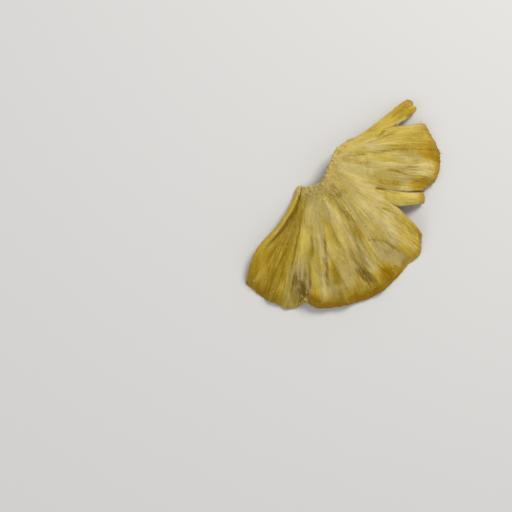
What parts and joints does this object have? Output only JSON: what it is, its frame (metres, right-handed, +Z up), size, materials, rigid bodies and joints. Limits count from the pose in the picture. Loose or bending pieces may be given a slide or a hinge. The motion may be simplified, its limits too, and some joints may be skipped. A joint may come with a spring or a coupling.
{
  "type": "dried pineapple slice",
  "caption": "Dried pineapple slice: a thin curled half ring whose fibres fan from a tough core edge to a wavy, torn rim turned down at the edge.",
  "frame": {"origin": "centre of the bounding box in plan, on the surface that the slice rests on", "axes": "+Z up from the table, +X to the right and +Y away from the long rim, as the slice is seen from above in the picture"},
  "size_m": [0.0594, 0.0636, 0.0089],
  "materials": {
    "dried_flesh": "dry, slightly waxy and translucent fruit flesh with long fibres, straw yellow with grey windows and an amber rim"
  },
  "bodies": {
    "root": {"pineapple_slice": "dried_flesh"}
  },
  "joints": []
}
